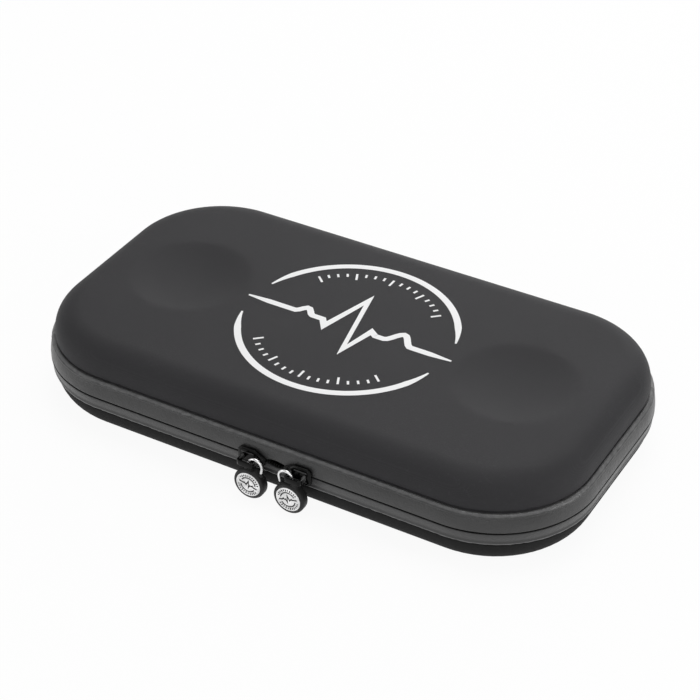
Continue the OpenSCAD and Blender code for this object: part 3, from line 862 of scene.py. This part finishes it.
def pocketHem():
    # an elastic in a casing, gathered
    mid = pocket["level"] + 1.5 * pocket["wall"]
    half, thick, reach = pocket["hem"] / 2, pocket["hemWall"], pocket["hemReach"]
    ring = [(-half, 0), (-half + 0.3, 0.62), (-half + 1.2, thick), (0, thick - 0.15),
            (half - 1.2, thick), (half - 0.3, 0.62), (half, 0)]
    ring += [(y, -z) for y, z in reversed(ring[1:-1])]
    centre = pocket["mouth"] - half
    bm = bmesh.new()
    extrudeBar(bm, [(-reach, centre + y, mid + z) for y, z in ring], (2 * reach, 0, 0), 260)
    for vert in bm.verts:
        x, y, z = vert.co
        fold = sin(x / 0.82 + 1.6 * noise.noise(Vector((x / 7, 3, 0))))
        out = (y - centre) / half
        vert.co.z += 0.28 * fold * (1 if z > mid else -0.6) * (1 - 0.5 * abs(out))
        vert.co.y += 0.22 * fold * out
    keepPiece(bm, "pocketHem", "lid", ["pocket_hem"], looks["hem"], sharp=60)


pocketHem()


def pocketBinding():
    low, high = pocket["level"], pocket["level"] + pocket["wall"]
    a, b = pocket["inset"] + 0.03, pocket["inset"] + pocket["ribbon"]
    profile = [(a, low + 0.1), (a, high), (b - 0.3, high), (b, high - 0.25), (b, low + 0.3),
               (b - 0.2, low + 0.05), (b - 1, low), (a + 3.5, low), (a + 0.8, low)]
    bm = sweepRound(profile, pocketRoute, closed=True, caps=True)
    merged(bm)
    addRouteUv(bm)
    keepPiece(bm, "pocketBinding", "lid", ["pocket_binding"], looks["ribbon"], sharp=50)
    bm = bmesh.new()
    for inset in (a + 1.6, b - 1.5):
        sewRound(bm, pocketRoute, inset, inset, low - 0.02, -up)
    keepPiece(bm, "pocketSeam", "lid", [], looks["thread"], sharp=80)


pocketBinding()
print("inside made")


# Sliders and pulls are built about a slider's middle, with its mouth towards +X.
slider = {"length": 14.4, "height": 9.6, "face": 1.9, "gap": 0.25, "backGap": 4.5, "backWall": 1.5,
          "backHeight": 9, "eye": 4.6, "strap": 2.8}
pull = {"leg": 0.6, "plane": 5.0, "lean": 14, "spacing": 7.2, "rise": 0.1, "wire": 0.7,
        "drop": 10.6, "disc": 8.1, "wall": 5.2, "badge": 6.4}
onLeft = Matrix.Translation((-4.0, frontY, 0))
onRight = Matrix.Translation((20.6, frontY, 0)) @ Matrix.Scale(-1, 4, (1, 0, 0))


def plateOutline():
    x, z = slider["length"] / 2, slider["height"] / 2
    return [(-x, -z * 0.68), (-x, z * 0.68), (-x * 0.76, z), (x * 0.24, z), (x, z * 0.34),
            (x, -z * 0.34), (x * 0.24, -z), (-x * 0.76, -z)]


def sliderBody():
    bm = bmesh.new()
    foot = [bm.verts.new((x, -slider["gap"], z)) for x, z in plateOutline()]
    made = extrudeFaces(bm, [bm.faces.new(foot)], (0, slider["gap"] + 0.35 - slider["face"], 0))
    crest = next(g for g in made if isinstance(g, bmesh.types.BMFace))
    bmesh.ops.inset_individual(bm, faces=[crest], thickness=0.5, depth=0)
    bmesh.ops.inset_individual(bm, faces=[crest], thickness=0.35, depth=0)
    bmesh.ops.translate(bm, vec=(0, -0.35, 0), verts=list(crest.verts))
    outward(bm)
    bevelEdges(bm, [e for e in bm.edges if e.calc_face_angle(0) > radians(24)], 0.16)
    back = slider["backGap"]
    half = slider["length"] / 2
    roundBox(bm, (half - 4.8, -0.6, -0.3), (half - 0.6, back + 0.3, 0.3), 0.1)
    roundBox(bm, (-half, back, -slider["backHeight"] / 2),
             (half - 0.6, back + slider["backWall"], slider["backHeight"] / 2), 0.4, 3)
    roundBox(bm, (-half + 0.1, 1.7, -slider["backHeight"] / 2),
             (half - 2, back + 0.3, -slider["backHeight"] / 2 + 0.7), 0.15)
    for z in (-2.6, 2.6):      # the two low ribs of the casting beside the crown
        roundBox(bm, (-half * 0.72, -slider["face"] - 0.22, z - 0.35),
                 (half * 0.2, -slider["face"] + 0.3, z + 0.35), 0.14)
    outward(bm)
    return bm


def arcPoints(mid, r, start, end, count=6):
    turns = [radians(start + (end - start) * i / count) for i in range(count + 1)]
    return [(mid[0] + r * cos(turn), mid[1] + r * sin(turn)) for turn in turns]


def crown():
    face, top = slider["face"], slider["face"] + slider["eye"] + 1.1
    under, tail, mouth, foot = face + slider["eye"], 4.8, 4.0, 1.2
    outer = [(-tail, face - 0.6)] + arcPoints((-tail + 1.6, top - 1.6), 1.6, 180, 90)
    outer += arcPoints((mouth - 1.6, top - 1.6), 1.6, 90, 0) + [(mouth, face - 0.6)]
    inner = [(mouth - foot, face - 0.6)]
    inner += arcPoints((mouth - foot - 0.7, under - 0.7), 0.7, 0, 90)
    inner += arcPoints((-tail + foot + 0.7, under - 0.7), 0.7, 90, 180)
    inner += [(-tail + foot, face - 0.6)]
    bm = bmesh.new()
    verts = [bm.verts.new((x, -y, -slider["strap"] / 2)) for x, y in outer + inner]
    extrudeFaces(bm, [bm.faces.new(verts)], (0, 0, slider["strap"]))
    outward(bm)
    bevelEdges(bm, [e for e in bm.edges if e.calc_face_angle(0) > radians(60)], 0.28, 3)
    return bm


def hung():
    return (Matrix.Translation((pull["leg"], -pull["plane"], 0))
            @ Matrix.Rotation(radians(pull["lean"]), 4, "Y"))


def pullWire():
    r, rise = pull["spacing"] / 2, pull["rise"]
    low = rise - pull["drop"] + 3.2
    points = [(0, 0, low + (rise - low) * i / 4) for i in range(4)]
    points += [(r - r * cos(pi * i / 20), 0, rise + r * sin(pi * i / 20)) for i in range(21)]
    points += [(2 * r, 0, low + (rise - low) * i / 4) for i in (3, 2, 1, 0)]
    bm = bmesh.new()
    curveTube(bm, points, pull["wire"], sides=14)
    merged(bm, 0.001)
    bm.transform(hung())
    return bm


def discFrame():
    # the disc's own frame: z towards the viewer
    middle = (pull["spacing"] / 2, 0, pull["rise"] - pull["drop"])
    return hung() @ Matrix.Translation(middle) @ Matrix.Rotation(pi / 2, 4, "X")


def spinProfile(bm, profile):
    verts = [bm.verts.new((r, 0, z)) for r, z in profile]
    edges = [bm.edges.new(pair) for pair in zip(verts, verts[1:])]
    bmesh.ops.spin(bm, geom=edges, cent=(0, 0, 0), axis=(0, 0, 1), angle=tau, steps=64,
                   use_merge=True)
    merged(bm, 0.002)


def pullDisc():
    r, h, e = pull["disc"], pull["wall"] / 2, 1.4
    profile = [(0, -h)] + arcPoints((r - e, -h + e), e, -90, 0, 5)
    profile += arcPoints((r - e, h - e), e, 0, 80, 5)
    profile += [(pull["badge"] + 0.42, h + 0.02), (pull["badge"] + 0.12, h - 0.06),
                (pull["badge"] + 0.04, h - 0.3), (pull["badge"] + 0.02, h - 0.9), (0, h - 0.9)]
    bm = bmesh.new()
    spinProfile(bm, profile)
    for x in (-pull["spacing"] / 2, pull["spacing"] / 2):   # bosses where the legs go in
        place = Matrix.Translation((x, r * 0.84, 0)) @ Matrix.Rotation(pi / 2, 4, "X")
        made = bmesh.ops.create_cone(bm, cap_ends=True, segments=20, radius1=1.15, radius2=1.5,
                                     depth=2.4, matrix=place)["verts"]
        edges = {e for v in made for e in v.link_edges if len(e.link_faces) == 2
                 and e.calc_face_angle(0) > radians(60)}
        bevelEdges(bm, list(edges), 0.25)
    bm.transform(discFrame())
    return bm


def pullBadge():
    r, h = pull["badge"], pull["wall"] / 2
    profile = [(0, h - 0.9), (r, h - 0.9), (r, h - 0.14), (r - 0.14, h), (r - 0.7, h + 0.02),
               (r - 0.85, h - 0.1), (r - 2.1, h - 0.1), (r - 2.25, h), (0, h + 0.06)]
    bm = bmesh.new()
    spinProfile(bm, profile)
    bm.transform(discFrame())
    return bm


def flatStroke(bm, points, widths, low, thick):
    # a ribbon along a path on a face, with mitred corners
    left, right = [], []
    for i, point in enumerate(points):
        before = Vector(points[max(i - 1, 0)])
        after = Vector(points[min(i + 1, len(points) - 1)])
        point = Vector(point)
        d0 = (point - before) if i else (after - point)
        d1 = (after - point) if i < len(points) - 1 else d0
        n0 = Vector((-d0.y, d0.x)).normalized()
        n1 = Vector((-d1.y, d1.x)).normalized()
        mitre = (n0 + n1) / max(0.16, 1 + n0.dot(n1))
        left.append(bm.verts.new((*(point + mitre * widths[i] / 2), low)))
        right.append(bm.verts.new((*(point - mitre * widths[i] / 2), low)))
    faces = [bm.faces.new((left[i], right[i], right[i + 1], left[i + 1]))
             for i in range(len(points) - 1)]
    extrudeFaces(bm, faces, (0, 0, thick))


def ringArc(radius, start, end, step):
    return arcPoints((0, 0), radius, start, end, max(2, round(abs(end - start) / step)))


def tapered(count, width, tip, ends):
    # stroke widths that narrow towards both ends
    return [width * min(1, tip + (1 - tip) * min(i, count - 1 - i) / ends) for i in range(count)]


def pulseLine(reach, tall, beats):
    # rounded bumps before and after one sharp beat
    points = []
    for i in range(-40, 41):
        x = i / 40
        y = 0.1 * max(0, cos((x + 0.44) / 0.09 * pi / 2)) ** 2 if abs(x + 0.44) < 0.09 else 0
        if abs(x - 0.48) < 0.13:
            y = 0.17 * cos((x - 0.48) / 0.13 * pi / 2) ** 2
        if not -0.26 < x < 0.27:
            points.append((x, y))
        elif x == -0.25:
            points += beats
    return [(x * reach, y * tall) for x, y in points]


beat = [(-0.25, 0), (-0.19, -0.1), (-0.04, 0.54), (0.12, -0.38), (0.21, 0.05), (0.27, 0)]


def badgeMark():
    # ticks, a broken ring and a pulse line
    top = pull["wall"] / 2 + 0.03
    bm = bmesh.new()
    for i in range(28):
        if i % 14 in (0, 1, 13):
            continue
        out = Vector((cos(tau * i / 28), sin(tau * i / 28)))
        long = 1.25 if i % 2 else 0.8
        flatStroke(bm, [out * (5.15 - long / 2), out * (5.15 + long / 2)], [0.5, 0.5],
                   top - 0.12, 0.1)
    for start, end in ((20, 160), (200, 340)):
        arc = ringArc(3.85, start, end, 8)
        flatStroke(bm, arc, [0.6] * len(arc), top - 0.1, 0.13)
    line = pulseLine(4.8, 3.9, beat)
    flatStroke(bm, line, [0.66] * len(line), top - 0.02, 0.08)
    outward(bm)
    bm.transform(discFrame())
    return bm


for side, place in (("left", onLeft), ("right", onRight)):
    runner, swing = side + "_runner", side + "_pull"
    for make, label, body, node, slot, look, sharp in (
            (sliderBody, "Slider", runner, "_slider", "black_metal", "blackMetal", 34),
            (crown, "Crown", runner, "_crown", "black_metal", "blackMetal", 40),
            (pullWire, "PullWire", swing, "_pull_wire", "wire", "wire", 50),
            (pullDisc, "PullDisc", swing, "_pull_disc", "soft_black", "rubber", 40),
            (pullBadge, "PullBadge", swing, "_pull_badge", "badge_white", "badge", 40),
            (badgeMark, "BadgeMark", swing, None, "badge_white", "badgeInk", 30)):
        keepPiece(make(), side + label, body, [side + node] if node else [], looks[look],
                  sharp, place)
print("sliders and pulls made")


mark = {"radius": 53.0, "stroke": 3.4, "gap": 15, "thick": 0.1, "ticks": 46.2, "reach": 56}


def lidPrint():
    level = case["above"] + 0.03
    bm = bmesh.new()
    for start in (0, 180):
        arc = ringArc(mark["radius"], start + mark["gap"], start + 180 - mark["gap"], 2)
        flatStroke(bm, arc, tapered(len(arc), mark["stroke"], 0.25, 7), level, mark["thick"])
        for i in range(-8, 9):
            a = radians(start + 90 + i * 6)
            out = Vector((cos(a), sin(a)))
            long = 5.2 if i % 4 == 0 else 2.6
            flatStroke(bm, [out * (mark["ticks"] - long), out * mark["ticks"]], [1.1, 1.1], level,
                       mark["thick"])
    line = pulseLine(mark["reach"], 46, beat)
    widths = tapered(len(line), 3.3, 0.3, 8)
    flatStroke(bm, line, widths, level, mark["thick"])
    outward(bm)
    keepPiece(bm, "lidPrint", "lid", [], looks["print"], sharp=30)


lidPrint()
print("print made")


def stageMaterial(name):
    material = bpy.data.materials.new(name)
    material.use_nodes = True
    tree = material.node_tree
    tree.nodes.clear()
    diffuse = addNode(tree, "BsdfDiffuse", {"Color": (0.9, 0.9, 0.9, 1)})
    path = addNode(tree, "LightPath").outputs
    glow = addNode(tree, "Emission", {"Color": (1, 1, 1, 1), "Strength": maths(
        tree, "MULTIPLY_ADD", path["Is Glossy Ray"], -0.04, 1.0)})
    seen = maths(tree, "MAXIMUM", path["Is Camera Ray"],
                 maths(tree, "MAXIMUM", path["Is Glossy Ray"], path["Is Transmission Ray"]))
    mix = addNode(tree, "MixShader", (times(tree, seen, 0.93), diffuse.outputs[0],
                                      glow.outputs[0]))
    out = tree.nodes.new("ShaderNodeOutputMaterial")
    tree.links.new(mix.outputs[0], out.inputs[0])
    return material


def makeStage():
    # a pale floor and a white world that is dimmer to the case than to the camera
    bm = bmesh.new()
    bmesh.ops.create_grid(bm, x_segments=8, y_segments=8, size=4.0)
    mesh = bpy.data.meshes.new("floor")
    bm.to_mesh(mesh)
    bm.free()
    mesh.materials.append(stageMaterial("paleFloor"))
    floor = addObject("floor", mesh)

    world = bpy.data.worlds.new("studio")
    bpy.context.scene.world = world
    world.use_nodes = True
    tree = world.node_tree
    tree.nodes.clear()
    path = addNode(tree, "LightPath").outputs
    seen = maths(tree, "MAXIMUM", path["Is Camera Ray"], path["Is Transmission Ray"])
    strength = maths(tree, "MAXIMUM", seen, maths(tree, "MULTIPLY_ADD", path["Is Glossy Ray"],
                                                  0.1, 0.4))
    glow = addNode(tree, "Background", {"Color": (1, 1, 1, 1), "Strength": strength})
    out = tree.nodes.new("ShaderNodeOutputWorld")
    tree.links.new(glow.outputs[0], out.inputs[0])


lamps = {
    "topBox": {"at": (0.0, 0.3, 1.4), "size": (0.9, 0.8), "power": 8.5},
    "backLow": {"at": (-0.3, 1.3, 0.5), "size": (1.2, 0.4), "power": 5},
    "leftFront": {"at": (-1.0, -1.0, 0.35), "size": (0.3, 0.5), "power": 2.3},
    "rightStrip": {"at": (1.05, 0.2, 0.36), "size": (0.3, 0.5), "power": 3},
    "frontFill": {"at": (0.6, -1.3, 0.6), "size": (1.0, 0.6), "power": 3.6},
}


def makeLights():
    # softboxes, all aimed at the middle of the case
    for name, lamp in lamps.items():
        data = bpy.data.lights.new(name, "AREA")
        data.shape = "RECTANGLE"
        data.size, data.size_y = lamp["size"]
        data.energy = lamp["power"]
        light = addObject(name, data)
        light.location = lamp["at"]
        aim = Vector((0, 0, 0.02)) - Vector(lamp["at"])
        light.rotation_euler = aim.to_track_quat("-Z", "Y").to_euler()


view = {"lens": 105.5, "sensor": 36, "shift": (0.0031, 0.0275), "aim": (0, 0, 0.0205),
        "away": (0.4027, -0.6998, 0.5901)}


def makeCamera():
    data = bpy.data.cameras.new("camera")
    data.lens = view["lens"]
    data.sensor_width = view["sensor"]
    data.shift_x, data.shift_y = view["shift"]
    camera = addObject("camera", data)
    aim = Vector(view["aim"])
    camera.location = aim + Vector(view["away"])
    camera.rotation_euler = (aim - camera.location).to_track_quat("-Z", "Y").to_euler()
    bpy.context.scene.camera = camera


makeStage()
makeLights()
makeCamera()
bpy.context.scene.view_settings.view_transform = "Standard"
print("stage, lights and camera set")
